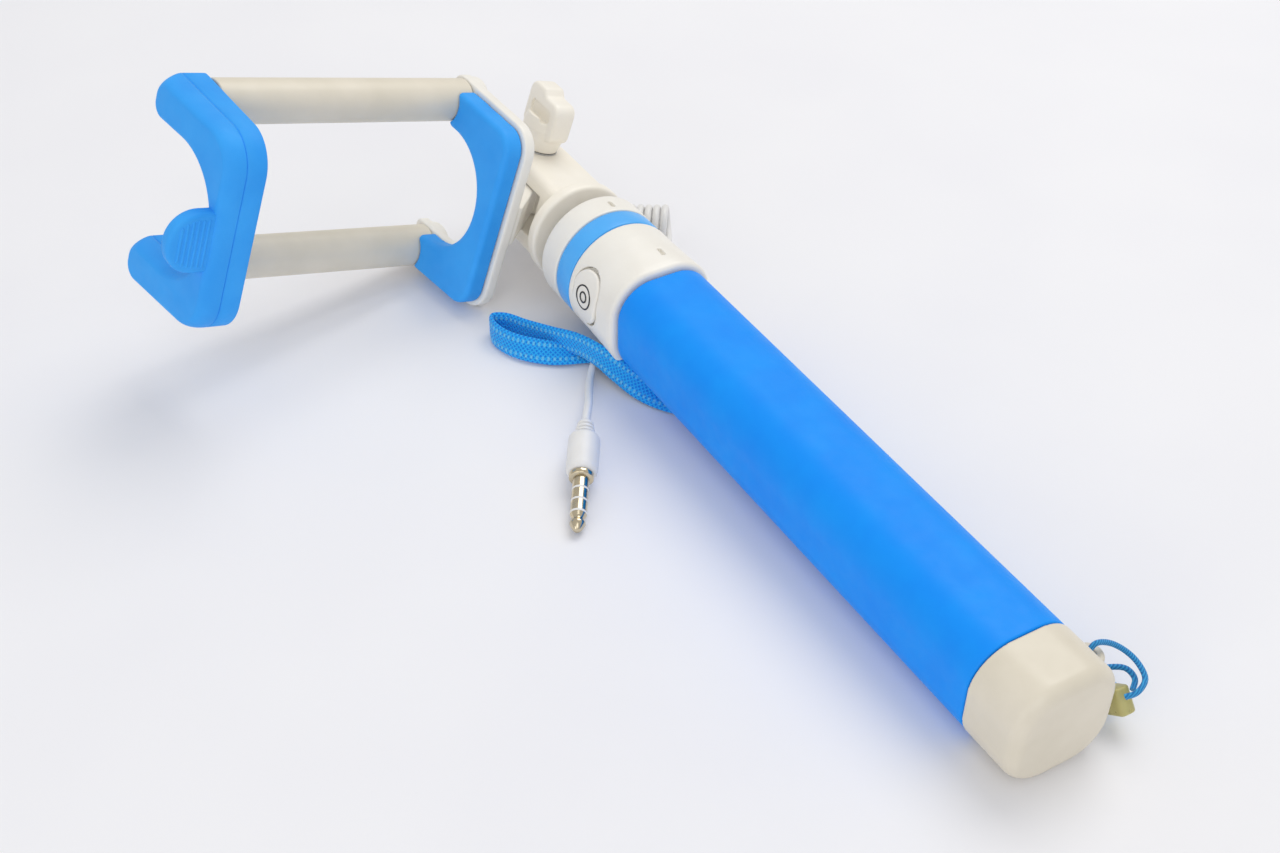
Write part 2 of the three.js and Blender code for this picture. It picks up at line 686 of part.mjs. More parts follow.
// The four-pole jack, along x from the plug body's front to its tip.
function plugJack (long) {
  const shaft = 1.75
  const tip = long - 4
  return turned([
    [0, 0],
    [0, 2.6],
    [1, 2.6],
    [1.2, shaft],
    [tip, shaft],
    [tip + 0.7, 1.15],
    [tip + 2, 1.65],
    [long - 0.3, 0.6],
    [long, 0]
  ], 20)
}

function cords () {
  const group = new THREE.Group()
  const bodyLong = 14.2
  const whole = plugRear.distanceTo(plugTip)
  const plug = new THREE.Group()
  plug.position.copy(plugRear)
  plug.quaternion.setFromUnitVectors(new THREE.Vector3(1, 0, 0), plugTip.clone().sub(plugRear).normalize())
  const jack = piece('plug_jack', plugJack(whole - bodyLong - gap), materials.steel)
  jack.position.x = bodyLong + gap
  add(plug, piece('plug_body', plugBody(bodyLong), materials.vinylWhite), jack)
  add(group,
    piece('wrist_strap', tubeAlong(smooth(strapRoute), strapThick, 78), materials.nylonBlue),
    piece('strap_loop_cord', tubeAlong(smooth(loopRoute), loopThick, 26), materials.nylonTeal),
    piece('strap_crimp', strapCrimp(), materials.crimp),
    piece('cable_lead', tubeAlong(smooth(leadRoute), cableThick, 10), materials.vinylWhite),
    piece('cable_coil', tubeAlong(smooth(coilRoute), 2 * cableCoil.radius, 5, 12), materials.vinylWhite),
    piece('cable_tail', tubeAlong(smooth(tailRoute), cableThick, 30), materials.vinylWhite),
    plug
  )
  return group
}

// ---- The whole stick ----------------------------------------------------------------------

const table = new THREE.Group()
table.position.set(toMiddle.x, toMiddle.y, 0)
const stick = new THREE.Group()
stick.position.z = poleHeight
stick.rotation.y = -restTilt
const turnedHead = new THREE.Group()
turnedHead.rotation.x = headRoll
const swungClamp = new THREE.Group()
swungClamp.position.x = pivot
swungClamp.rotation.z = clampSwing
add(swungClamp, clamp())
add(turnedHead, sections(), head(), swungClamp)
add(stick, handle(), turnedHead)
add(table, stick, cords())

const model = new THREE.Group()
model.add(table)

export default model
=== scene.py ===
"""A wired telescopic selfie stick, collapsed on a pale table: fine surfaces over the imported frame.

Shapes are made in millimetres, each in the frame of the part that carries it, and then placed.
"""
import json
import math

import bmesh
import bpy
from mathutils import Matrix, Vector


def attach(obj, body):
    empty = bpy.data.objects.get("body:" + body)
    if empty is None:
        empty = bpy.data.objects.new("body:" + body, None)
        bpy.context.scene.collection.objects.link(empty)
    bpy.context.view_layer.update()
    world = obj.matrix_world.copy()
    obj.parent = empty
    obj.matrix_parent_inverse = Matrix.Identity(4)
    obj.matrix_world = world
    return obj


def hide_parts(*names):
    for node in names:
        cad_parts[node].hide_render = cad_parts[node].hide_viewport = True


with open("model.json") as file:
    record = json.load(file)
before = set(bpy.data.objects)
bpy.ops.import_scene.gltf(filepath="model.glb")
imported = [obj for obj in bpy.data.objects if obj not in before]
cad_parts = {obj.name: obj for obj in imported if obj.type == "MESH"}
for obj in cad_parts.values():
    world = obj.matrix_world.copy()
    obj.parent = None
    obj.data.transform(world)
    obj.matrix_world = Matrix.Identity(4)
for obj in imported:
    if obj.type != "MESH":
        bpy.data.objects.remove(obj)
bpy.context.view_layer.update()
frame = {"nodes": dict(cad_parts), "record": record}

# ---- Where things are, the same as in the CAD model (mm) ------------------------------------

MM = 0.001
GAP = 0.3
REST_TILT = math.radians(1.583)
HEAD_ROLL = math.radians(18.92)
POLE_HEIGHT = 15.236
TO_MIDDLE = (31.5, -41.6, 0)
PIVOT = 62.4
CLAMP_SWING = math.radians(97)
BORE = 9.9  # of everything that goes round the steel tube in the handle
Z_UP = Vector((0, 0, 1))

TABLE = Matrix.Scale(MM, 4) @ Matrix.Translation(TO_MIDDLE)
STICK = TABLE @ Matrix.Translation((0, 0, POLE_HEIGHT)) @ Matrix.Rotation(-REST_TILT, 4, "Y")
HEAD = STICK @ Matrix.Rotation(HEAD_ROLL, 4, "X")
SCREW = HEAD @ Matrix.Translation((PIVOT, 0, 0))
CLAMP = SCREW @ Matrix.Rotation(CLAMP_SWING, 4, "Z")

# The plate of the clamp, in its own frame: x to the jaw, y to the spine, z up the thumb screw.
PLATE_BACK = 19.2
PLATE_FACE = 22
PLATE_TIP = -11
SPINE = 20.5
HALF_TIP = 24.6
HALF_SPINE = 23.3
CUTOUT_HALF = 14.2
ARM_Y = -6.1
ARM_Z = 19.25
ARM_RADIUS = 4.9

# ---- Camera -------------------------------------------------------------------------------

EYE = Vector((-239.53, 124.13, 243.97)) * MM
LOOK = Vector((0.6662, -0.3938, -0.6334))
RIGHT = Vector((-0.5089, -0.8608, 0))
UP = Vector((0.5452, -0.3223, 0.7738))
FOCAL_LENGTH = 49.76
SENSOR_WIDTH = 36


def make_camera():
    lens = bpy.data.cameras.new("camera")
    lens.lens = FOCAL_LENGTH
    lens.sensor_width = SENSOR_WIDTH
    lens.clip_start = 0.01
    lens.clip_end = 10
    camera = bpy.data.objects.new("camera", lens)
    bpy.context.scene.collection.objects.link(camera)
    turn = Matrix((RIGHT.normalized(), UP.normalized(), -LOOK.normalized())).transposed()
    camera.matrix_world = Matrix.Translation(EYE) @ turn.to_4x4()
    bpy.context.scene.camera = camera


make_camera()

# ---- Materials ----------------------------------------------------------------------------


def linear(red, green, blue):
    """A colour given in screen values of 0 to 255, as the shader wants it."""

    def one(value):
        value /= 255
        return value / 12.92 if value <= 0.04045 else ((value + 0.055) / 1.055) ** 2.4

    return (one(red), one(green), one(blue), 1)


# Sockets of a Mix node when it mixes colours. Its other kinds share their names.
MIX_SHARE = 0
MIX_FIRST = 6
MIX_SECOND = 7
MIX_COLOUR = 2


class Nodes:
    """A material's node tree, with short calls for the nodes that these materials use."""

    def __init__(self, name, **settings):
        self.material = bpy.data.materials.new(name)
        self.material.use_nodes = True
        self.tree = self.material.node_tree
        self.shader = self.tree.nodes["Principled BSDF"]
        for socket, value in settings.items():
            self.shader.inputs[socket.replace("_", " ")].default_value = value

    def link(self, output, node, socket):
        self.tree.links.new(output, node.inputs[socket])

    def on_uv_map(self):
        return self.tree.nodes.new("ShaderNodeTexCoord").outputs["UV"]

    def on_object(self):
        """Object coordinates in millimetres."""
        coordinates = self.tree.nodes.new("ShaderNodeTexCoord")
        scale = self.tree.nodes.new("ShaderNodeMapping")
        scale.inputs["Scale"].default_value = (1 / MM, 1 / MM, 1 / MM)
        self.link(coordinates.outputs["Object"], scale, "Vector")
        return scale.outputs["Vector"]

    def noise(self, where, size, detail=3):
        """Noise with features of about that size in millimetres."""
        node = self.tree.nodes.new("ShaderNodeTexNoise")
        node.inputs["Scale"].default_value = 1 / size
        node.inputs["Detail"].default_value = detail
        self.link(where, node, "Vector")
        return node.outputs["Fac"]

    def compute(self, operation, first, second=0.0):
        """A maths node over numbers or other nodes' outputs."""
        node = self.tree.nodes.new("ShaderNodeMath")
        node.operation = operation
        for socket, value in enumerate((first, second)):
            if isinstance(value, (int, float)):
                node.inputs[socket].default_value = value
            else:
                self.link(value, node, socket)
        return node.outputs[0]

    def spread(self, value, low, high, start=0.3, end=0.7):
        """Spreads a value between start and end over low to high."""
        node = self.tree.nodes.new("ShaderNodeMapRange")
        for socket, number in {"From Min": start, "From Max": end, "To Min": low, "To Max": high}.items():
            node.inputs[socket].default_value = number
        self.link(value, node, "Value")
        return node.outputs["Result"]

    def between(self, share, first, second):
        """A mix of two colours. Either can be another node's output."""
        node = self.tree.nodes.new("ShaderNodeMix")
        node.data_type = "RGBA"
        for socket, colour in {MIX_FIRST: first, MIX_SECOND: second}.items():
            if isinstance(colour, tuple):
                node.inputs[socket].default_value = colour
            else:
                self.link(colour, node, socket)
        self.link(share, node, MIX_SHARE)
        return node.outputs[MIX_COLOUR]

    def colour(self, output):
        self.link(output, self.shader, "Base Color")

    def roughness(self, output):
        self.link(output, self.shader, "Roughness")

    def bump(self, height, depth):
        """Raises the surface by up to depth, in millimetres."""
        node = self.tree.nodes.new("ShaderNodeBump")
        node.inputs["Strength"].default_value = 1
        node.inputs["Distance"].default_value = depth * MM
        self.link(height, node, "Height")
        self.link(node.outputs["Normal"], self.shader, "Normal")


def moulded(name, light, dark, rough, grain=0.35, depth=0.0012, **settings):
    """A moulded plastic or rubber: a fine grain, and slow drifts of its colour and its gloss."""
    mottle = 9
    made = Nodes(name, **settings)
    where = made.on_object()
    made.colour(made.between(made.spread(made.noise(where, mottle), 0, 1), light, dark))
    made.roughness(made.spread(made.noise(where, mottle / 3), *rough))
    made.bump(made.noise(where, grain, 4), depth)
    return made.material


def metal(name, light, dark, rough):
    mottle = 2.5
    streak = 0.5
    grain = 0.2
    depth = 0.004
    made = Nodes(name, Metallic=1)
    where = made.on_object()
    made.colour(made.between(made.spread(made.noise(where, mottle), 0, 1), light, dark))
    made.roughness(made.spread(made.noise(where, streak), *rough))
    made.bump(made.noise(where, grain), depth)
    return made.material


def woven_strap():
    """A flat braid: threads that cross on each half, painted lighter on their tops and darker in the grooves
    between them as painted shade, and a row of light stitches down each.
    """
    thread_pitch = 1.05
    stitch_pitch = 1.25
    row_from_middle = 1.55
    thread_high = 0.09
    full_turn = 2 * math.pi
    made = Nodes("woven strap", Specular_IOR_Level=0.35, Sheen_Weight=0.25, Sheen_Roughness=0.4)
    split = made.tree.nodes.new("ShaderNodeSeparateXYZ")
    made.link(made.on_uv_map(), split, 0)
    along = split.outputs[0]
    across = made.compute("ABSOLUTE", split.outputs[1])

    def slanted(way):
        turns = made.compute("MULTIPLY", made.compute(way, along, across), full_turn / thread_pitch)
        return made.compute("SINE", turns)

    thread = made.compute("MAXIMUM", slanted("ADD"), slanted("SUBTRACT"))
    off_row = made.compute("ABSOLUTE", made.compute("SUBTRACT", across, row_from_middle))
    in_row = made.spread(off_row, 1, 0, 0.25, 0.6)
    wave = made.compute("SINE", made.compute("MULTIPLY", along, full_turn / stitch_pitch))
    stitch = made.compute("MULTIPLY", in_row, made.spread(wave, 0, 1, -0.2, 0.5))
    # Painted shade: each thread is darker where it dips into the grooves and lighter where it stands high.
    body = made.between(made.spread(thread, 0, 1, -0.4, 1), linear(0, 132, 240), linear(30, 180, 255))
    made.colour(made.between(made.compute("MULTIPLY", stitch, 0.75), body, linear(120, 212, 255)))
    made.roughness(made.spread(thread, 0.75, 0.55, -1, 1))
    made.bump(made.compute("ADD", thread, made.compute("MULTIPLY", stitch, 1.2)), thread_high)
    return made.material


def twisted_cord():
    """A thin round braid of two shades of blue."""
    made = Nodes("twisted cord", Sheen_Weight=0.2)
    wave = made.tree.nodes.new("ShaderNodeTexWave")
    wave.bands_direction = "DIAGONAL"
    wave.inputs["Scale"].default_value = 0.9
    wave.inputs["Distortion"].default_value = 1.5
    made.link(made.on_object(), wave, "Vector")
    made.colour(made.between(wave.outputs["Fac"], linear(10, 110, 185), linear(45, 165, 225)))
    made.roughness(made.spread(wave.outputs["Fac"], 0.75, 0.5, 0, 1))
    made.bump(wave.outputs["Fac"], 0.08)
    return made.material


# The cream plastic a step darker, for the end cap and the clamp's arms: painted shade, for the dimmer light
# that these parts get than the other cream pieces.
SHADED_CREAM = moulded("shaded_cream_plastic", linear(229, 221, 204), linear(222, 214, 196), (0.34, 0.44))
MATERIALS = {
    "cream_plastic": moulded("cream_plastic", linear(250, 245, 234), linear(245, 239, 226), (0.32, 0.42)),
    "white_plastic": moulded("white_plastic", linear(245, 242, 234), linear(240, 236, 227), (0.3, 0.4)),
    "blue_grip": moulded("blue_grip", linear(4, 152, 255), linear(2, 144, 252), (0.45, 0.55),
                         grain=0.25, depth=0.003, Specular_IOR_Level=0.25),
    "blue_plastic": moulded("blue_plastic", linear(84, 182, 254), linear(74, 174, 250), (0.3, 0.4)),
    "blue_rubber": moulded("blue_rubber", linear(56, 168, 252), linear(46, 158, 246), (0.5, 0.62),
                           grain=0.3, depth=0.004, Specular_IOR_Level=0.3),
    "black_plastic": moulded("black_plastic", linear(34, 34, 36), linear(24, 24, 26), (0.4, 0.55)),
    "pole_steel": metal("pole_steel", linear(205, 207, 210), linear(186, 189, 194), (0.2, 0.32)),
    "small_steel": metal("small_steel", linear(196, 198, 202), linear(168, 170, 176), (0.25, 0.4)),
    "nut_brass": metal("nut_brass", linear(214, 182, 104), linear(190, 158, 84), (0.25, 0.4)),
    "board": moulded("board", linear(30, 110, 60), linear(24, 96, 52), (0.35, 0.5)),
    "wire_black": moulded("wire_black", linear(40, 40, 42), linear(28, 28, 30), (0.4, 0.55)),
    "strap_nylon": woven_strap(),
    "loop_nylon": twisted_cord(),
    "crimp_plastic": moulded("crimp_plastic", linear(226, 218, 150), linear(210, 200, 128), (0.25, 0.4),
                             Transmission_Weight=0.35, IOR=1.48),
    "cable_white": moulded("cable_white", linear(238, 237, 235), linear(229, 228, 226), (0.35, 0.48)),
    "plug_metal": metal("plug_metal", linear(222, 206, 172), linear(196, 186, 164), (0.12, 0.22)),
}


def dress_frame():
    """Gives every node of the frame the material of its slot, and smooth round faces."""
    for part in frame["record"]["subparts"]:
        mesh = frame["nodes"][part["node"]].data
        mesh.materials.clear()
        mesh.materials.append(MATERIALS[part["material_slot"]])
        mesh.shade_smooth()
        mesh.set_sharp_from_angle(angle=math.radians(35))


dress_frame()

# ---- Shapes: a list of points and a list of faces --------------------------------------------


def loft(rings, joined=False):
    """Through rings of as many points each: capped at its ends, or joined end to start."""
    size = len(rings[0])
    faces = []
    for band in range(len(rings) if joined else len(rings) - 1):
        here = band * size
        after = ((band + 1) % len(rings)) * size
        for i in range(size):
            j = (i + 1) % size
            faces.append((here + i, here + j, after + j, after + i))
    if not joined:
        last = (len(rings) - 1) * size
        faces.append(tuple(reversed(range(size))))
        faces.append(tuple(range(last, last + size)))
    return [point for ring in rings for point in ring], faces


def joined(*shapes):
    """Several shapes as one."""
    points = []
    faces = []
    for some_points, some_faces in shapes:
        first = len(points)
        points.extend(some_points)
        faces.extend(tuple(first + i for i in face) for face in some_faces)
    return points, faces


def moved(shape, matrix):
    points, faces = shape
    return [matrix @ Vector(point) for point in points], faces


def reach(angle, half, corner):
    """How far a rounded square reaches at an angle. At corner = half it is a circle."""
    quarter = math.pi / 2
    turn = angle % quarter
    fold = min(turn, quarter - turn)
    if half * math.tan(fold) <= half - corner:
        return half / math.cos(fold)
    centre = math.sqrt(2) * (half - corner)
    off = fold - quarter / 2
    return centre * math.cos(off) + math.sqrt(corner**2 - (centre * math.sin(off)) ** 2)


def ring_at(x, half, corner=None, sides=128):
    """A ring of points round the pole axis at x."""
    corner = half if corner is None else corner
    ring = []
    for i in range(sides):
        angle = i / sides * 2 * math.pi
        radius = reach(angle, half, corner)
        ring.append((x, radius * math.cos(angle), radius * math.sin(angle)))
    return ring


def turned(profile, sides=96):
    """A solid of revolution about x, from a profile of (x, radius), closed or from axis to axis."""
    on_axis = profile[0][1] == 0
    rings = [ring_at(x, radius, sides=sides) for x, radius in profile if radius > 0]
    return loft(rings, joined=not on_axis)


def rounded(corners, steps=12):
    """An outline with its corners rounded. A corner is (x, y, radius)."""
    outline = []
    for i, (x, y, radius) in enumerate(corners):
        corner = Vector((x, y))
        back = (Vector(corners[i - 1][:2]) - corner).normalized()
        on = (Vector(corners[(i + 1) % len(corners)][:2]) - corner).normalized()
        if not radius:
            outline.append(corner)
            continue
        half = math.acos(max(-1, min(1, back.dot(on)))) / 2
        centre = corner + (back + on).normalized() * radius / math.sin(half)
        start = corner + back * radius / math.tan(half) - centre
        end = corner + on * radius / math.tan(half) - centre
        sweep = math.atan2(start.x * end.y - start.y * end.x, start.dot(end))
        for step in range(steps + 1):
            turn = Matrix.Rotation(sweep * step / steps, 2)
            outline.append(centre + turn @ start)
    return outline


def offset(outline, inset):
    """The outline moved in by inset along its own normals."""
    area = sum(a.x * b.y - a.y * b.x for a, b in zip(outline, outline[1:] + outline[:1]))
    side = 1 if area > 0 else -1
    made = []
    for i, point in enumerate(outline):
        before = (point - outline[i - 1]).normalized()
        after = (outline[(i + 1) % len(outline)] - point).normalized()
        normal = Vector((-before.y - after.y, before.x + after.x)) * side
        bend = max(0.3, (1 + before.dot(after)) / 2)
        made.append(point + normal.normalized() * inset / math.sqrt(bend))
    return made


def quarter_round(size, steps=6):
    """How far in and how far down the steps of a rounded edge are, from its top to its side."""
    shares = [step / steps * math.pi / 2 for step in range(steps + 1)]
    return [(size * (1 - math.sin(turn)), size * (1 - math.cos(turn))) for turn in shares]


def round_start(x, radius, size, steps):
    """The profile of a turned shape's first edge, rounded by size, from its end face at x."""
    return [(x + down, radius - inset) for inset, down in quarter_round(size, steps)]


def round_end(x, radius, size, steps):
    """The same for its last edge, to its end face at x."""
    return [(x - down, radius - inset) for inset, down in reversed(quarter_round(size, steps))]


def square_start(x, half, corner, size, steps):
    """Rings for the first edge of a rounded square, rounded by size, from its end face at x."""
    return [ring_at(x + down, half - inset, corner - inset) for inset, down in quarter_round(size, steps)]


def square_end(x, half, corner, size, steps):
    """The same for its last edge, to its end face at x."""
    rounds = reversed(quarter_round(size, steps))
    return [ring_at(x - down, half - inset, corner - inset) for inset, down in rounds]


def rod(low, high, radius, sides):
    """A plain solid cylinder about x."""
    return turned([(low, 0), (low, radius), (high, radius), (high, 0)], sides)


def prism(outline, low, high, edge=0.0, steps=6):
    """The outline raised from low to high along z, with its edges rounded."""
    rounds = quarter_round(edge, steps) if edge else [(0, 0)]
    rings = [[(p.x, p.y, low + down) for p in offset(outline, inset)] for inset, down in rounds]
    rings += [[(p.x, p.y, high - down) for p in offset(outline, inset)] for inset, down in reversed(rounds)]
    return loft(rings)


def upright(shape):
    """A shape made along x, stood up along z."""
    points, faces = shape
    return [(-z, y, x) for x, y, z in points], faces


def to_clamp(shape):
    """A shape made over an x and y outline, with that outline as the clamp's y and z."""
    points, faces = shape
    return [(z, x, y) for x, y, z in points], faces


def on_arm(shape, side):
    return moved(shape, Matrix.Translation((0, ARM_Y, side * ARM_Z)))


def block(low, high):
    x, y, z = zip(low, high)
    ends = [[(a, y[0], z[0]), (a, y[1], z[0]), (a, y[1], z[1]), (a, y[0], z[1])] for a in x]
    return loft(ends)


# ---- Pieces ---------------------------------------------------------------------------------


def draft(shape, name="draft"):
    """A mesh object of a shape, still in millimetres, with its faces pointing out."""
    points, faces = shape
    mesh = bpy.data.meshes.new(name)
    mesh.from_pydata([tuple(point) for point in points], [], faces)
    work = bmesh.new()
    work.from_mesh(mesh)
    bmesh.ops.recalc_face_normals(work, faces=work.faces)
    work.to_mesh(mesh)
    work.free()
    piece = bpy.data.objects.new(name, mesh)
    bpy.context.scene.collection.objects.link(piece)
    return piece


def settle(piece):
    """Puts a piece's modifiers into its mesh."""
    graph = bpy.context.evaluated_depsgraph_get()
    made = bpy.data.meshes.new_from_object(piece.evaluated_get(graph))
    piece.modifiers.clear()
    piece.data = made
    return piece


def combine(piece, operation, *shapes):
    """Cuts shapes out of a piece (DIFFERENCE), adds them (UNION) or keeps what they share (INTERSECT)."""
    for shape in shapes:
        tool = draft(shape, "tool")
        step = piece.modifiers.new(operation, "BOOLEAN")
        step.operation = operation
        step.solver = "EXACT"
        step.object = tool
        settle(piece)
        bpy.data.objects.remove(tool)


def soften(piece, voxel, rounds):
    """Gives a piece the small radii that a mould leaves on every edge."""
    remesh = piece.modifiers.new("remesh", "REMESH")
    remesh.mode = "VOXEL"
    remesh.voxel_size = voxel
    relax = piece.modifiers.new("relax", "SMOOTH")
    relax.factor = 0.5
    relax.iterations = rounds
    return settle(piece)


def place(piece, name, matrix, body, slot, nodes=(), sharp=180, material=None):
    """Names a draft, puts it where it belongs, and lets it stand for CAD nodes."""
    piece.name = name
    piece.data.name = name
    piece.data.transform(matrix)
    piece.data.materials.clear()
    piece.data.materials.append(material or MATERIALS[slot])
    piece.data.shade_smooth()
    if sharp < 180:
        piece.data.set_sharp_from_angle(angle=math.radians(sharp))
    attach(piece, body)
    if nodes:
        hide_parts(*nodes)
    return piece


# ---- Cords ----------------------------------------------------------------------------------

STRAP_ROUTE = [
    (-127.9, -15.2, 3.1), (-122, -14.6, 3.5), (-114, -14.2, 3.6), (-98, -14.4, 3.6), (-80, -14.8, 3.6),
    (-60, -14.8, 3.6), (-42, -13.8, 3.4), (-30, -10.4, 2.2), (-20, -2.6, 1.5), (-12.4, 4.6, 1.7),
    (-6.4, 8.4, 2.8), (0, 10.8, 4.2), (6, 12.8, 5.7), (12.4, 14.6, 5.4), (19, 17.6, 4.2), (25.4, 21, 3.4),
    (30.6, 23.8, 3.1), (32, 26.1, 3), (28.6, 27.4, 3), (23.6, 26.4, 3), (19.4, 23.8, 3), (16.2, 20.2, 2.7),
    (14.2, 16.4, 2.2), (12.2, 11, 1.5), (7.6, 5, 1.25), (0, -1.6, 1.25), (-10, -9.4, 1.6), (-22, -15.6, 2.8),
    (-36, -18.4, 3.5), (-56, -18.8, 3.6), (-80, -18.8, 3.6), (-98, -18.6, 3.6), (-114, -18.4, 3.6),
    (-122, -18.2, 3.5), (-127.9, -17.9, 3.1),
]
# How far the strap leans over at each of those points: 0 is on its edge, 90 is flat (degrees).
STRAP_LEAN = [
    37, 10, 0, 0, 0, 0, 20, 63, 77, 68, 48, 28, 14, 8, 8, 12, 12, 5,
    -10, -20, -32, -42, -64, -78, -84, -84, -75, -46, -8, 0, 0, 0, 0, -10, -37,
]
STRAP_WIDE = 5.6
STRAP_THICK = 1.2

LOOP_ROUTE = [
    (-132.6, -15.6, 9.2), (-133.6, -17.2, 10.4), (-132.6, -19.8, 11.4), (-129.8, -20.6, 12.4),
    (-127, -20, 13.4), (-125, -17.6, 15), (-124.4, -14.6, 15.9), (-124.4, -13.4, 14.6), (-124.4, -13.4, 12.3),
    (-124.4, -13.5, 9.8), (-124.6, -15.8, 8.6), (-125.8, -18.6, 9), (-128, -19.9, 9.9), (-130.6, -19.6, 9.8),
    (-132, -17.9, 9.2),
]
LOOP_THICK = 1.1

LEAD_ROUTE = [
    (41.8, -11.3, 13.2), (42.6, -13.8, 13.3), (47.5, -15.6, 13), (52.8, -17, 10.6),
]
COIL_AXIS = [(53.4, -17, 4.7), (50.9, -21.3, 4.7), (48.3, -25.5, 4.7), (45.8, -29.8, 4.7)]
COIL_RADIUS = 3.75
COIL_TURNS = 7 + 3 / 8
COIL_START = 135
STEPS_PER_TURN = 18
TAIL_ROUTE = [
    (33, -21.2, 1.7), (26.4, -15.4, 1.6), (19.4, -7.6, 1.05), (14, -0.8, 1.05), (12.2, 4.4, 1.7),
    (11.2, 9.2, 3.7), (8.4, 12.4, 2.2), (4.2, 16, 1.7), (-1.4, 19.4, 2.8), (-7, 22.6, 5), (-12.4, 26.1, 6.4),
    (-14.3, 27.35, 6.75),
]
CABLE_THICK = 1.8
PLUG_REAR = Vector((-14.6, 27.5, 6.8))
PLUG_TIP = Vector((-38.6, 43.1, 1.7))
PLUG_BODY_LONG = 14.2


def smooth_line(points, steps):
    """A smooth line through points, with that many steps between each two."""
    points = [Vector(point) for point in points]
    ends = [2 * points[0] - points[1], *points, 2 * points[-1] - points[-2]]
    line = []
    for a, b, c, d in zip(ends, ends[1:], ends[2:], ends[3:]):
        t1 = math.sqrt((b - a).length)
        t2 = t1 + math.sqrt((c - b).length)
        t3 = t2 + math.sqrt((d - c).length)
        for step in range(steps):
            t = t1 + (t2 - t1) * step / steps
            first = a.lerp(b, t / t1)
            middle = b.lerp(c, (t - t1) / (t2 - t1))
            last = c.lerp(d, (t - t2) / (t3 - t2))
            early = first.lerp(middle, t / t2)
            late = middle.lerp(last, (t - t1) / (t3 - t1))
            line.append(early.lerp(late, (t - t1) / (t2 - t1)))
    return [*line, points[-1]]


def round_cord(name, line, thick, slot, body, nodes):
    """A round cord along a line of points, which are in metres and in the frame of the whole stick."""
    curve = bpy.data.curves.new(name, "CURVE")
    curve.dimensions = "3D"
    curve.bevel_depth = thick * MM / 2
    curve.bevel_resolution = 5
    curve.use_fill_caps = True
    spline = curve.splines.new("POLY")
    spline.points.add(len(line) - 1)
    for made, point in zip(spline.points, line):
        made.co = (*point, 1)
    spline.use_smooth = True
    curve.materials.append(MATERIALS[slot])
    cord = bpy.data.objects.new(name, curve)
    bpy.context.scene.collection.objects.link(cord)
    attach(cord, body)
    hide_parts(*nodes)
    return cord


def cable_line():
    """The lead from the gland, the coil, and the tail to the plug."""
    axis = smooth_line(COIL_AXIS, 48)
    steps = round(COIL_TURNS * STEPS_PER_TURN)
    across = (axis[-1] - axis[0]).cross(Z_UP).normalized()
    coil = []
    for step in range(steps + 1):
        share = step / steps * (len(axis) - 1)
        whole = min(int(share), len(axis) - 2)
        middle = axis[whole].lerp(axis[whole + 1], share - whole)
        angle = math.radians(COIL_START) + step / steps * COIL_TURNS * 2 * math.pi
        coil.append(middle + COIL_RADIUS * (math.cos(angle) * across + math.sin(angle) * Z_UP))
    lead = smooth_line([*LEAD_ROUTE, coil[0]], 4)
    tail = smooth_line([coil[-1], *TAIL_ROUTE], 3)
    return [TABLE @ point for point in [*lead[:-1], *coil, *tail[1:]]]


def strap_profile():
    """Half the strap's section: how far across, and how high there. It has a groove down its middle."""
    one_side = [0.06, 0.12, 0.2, 0.3, 0.45, 0.6, 0.75, 0.9, 0.97, 1]
    half = []
    for share in [*(-share for share in reversed(one_side)), 0, *one_side]:
        flat = (1 - abs(share) ** 5) ** 0.5
        groove = 0.14 * math.exp(-((share / 0.06) ** 2))
        half.append((share * STRAP_WIDE / 2, STRAP_THICK / 2 * flat * (1 - groove)))
    return half


def make_strap():
    """The flat strap, swept along its route and leaning as it goes."""
    # The lean goes along as a fourth coordinate, too small to change how the points are spaced.
    lean_scale = 100
    route = [(*point, lean / lean_scale) for point, lean in zip(STRAP_ROUTE, STRAP_LEAN)]
    line = smooth_line(route, 12)
    middle = [point.to_3d() for point in line]
    half = strap_profile()
    section = half + [(across, -thick) for across, thick in reversed(half[1:-1])]
    rings = []
    marks = []
    along = 0
    for i, point in enumerate(middle):
        ahead = middle[min(i + 1, len(middle) - 1)]
        behind = middle[max(i - 1, 0)]
        travel = (ahead - behind).normalized()
        left = Z_UP.cross(travel).normalized()
        lean = math.radians(lean_scale * line[i].w)
        wide = (math.cos(lean) * travel.cross(left) - math.sin(lean) * left).normalized()
        face = wide.cross(travel)
        rings.append([point + across * wide + thick * face for across, thick in section])
        marks.append([(along, across) for across, _ in section])
        along += (ahead - point).length
    strap = draft(loft(rings), "wrist_strap")
    uv = strap.data.uv_layers.new(name="braid")
    flat_marks = [mark for ring in marks for mark in ring]
    for loop in strap.data.loops:
        uv.data[loop.index].uv = flat_marks[loop.vertex_index]
    place(strap, "strap", TABLE, "handle", "strap_nylon", ["wrist_strap"], sharp=60)
    return strap, [TABLE @ point for point in middle]


def plug_matrix():
    travel = (PLUG_TIP - PLUG_REAR).normalized()
    turn = Vector((1, 0, 0)).rotation_difference(travel).to_matrix().to_4x4()
    return TABLE @ Matrix.Translation(PLUG_REAR) @ turn


def plug_body():
    """The moulded body: a ribbed strain relief, a shoulder, and a plain grip."""
    relief = [(0, 0), (0, 1.35)]
    for rib in range(3):
        start = 0.5 + rib * 1.2
        radius = 1.7 + rib * 0.25
        relief += [
            (start, radius), (start + 0.6, radius + 0.1),
            (start + 0.75, radius - 0.25), (start + 1, radius - 0.2),
        ]
    grip = [
        (4.2, 2.6), (4.45, 3.1), (4.8, 3.32), (5.3, 3.4), (9, 3.45),
        (PLUG_BODY_LONG - 1.4, 3.4), (PLUG_BODY_LONG - 0.6, 3.25), (PLUG_BODY_LONG - 0.15, 2.95),
        (PLUG_BODY_LONG, 2.6), (PLUG_BODY_LONG, 0),
    ]
    return draft(turned(relief + grip, 72))


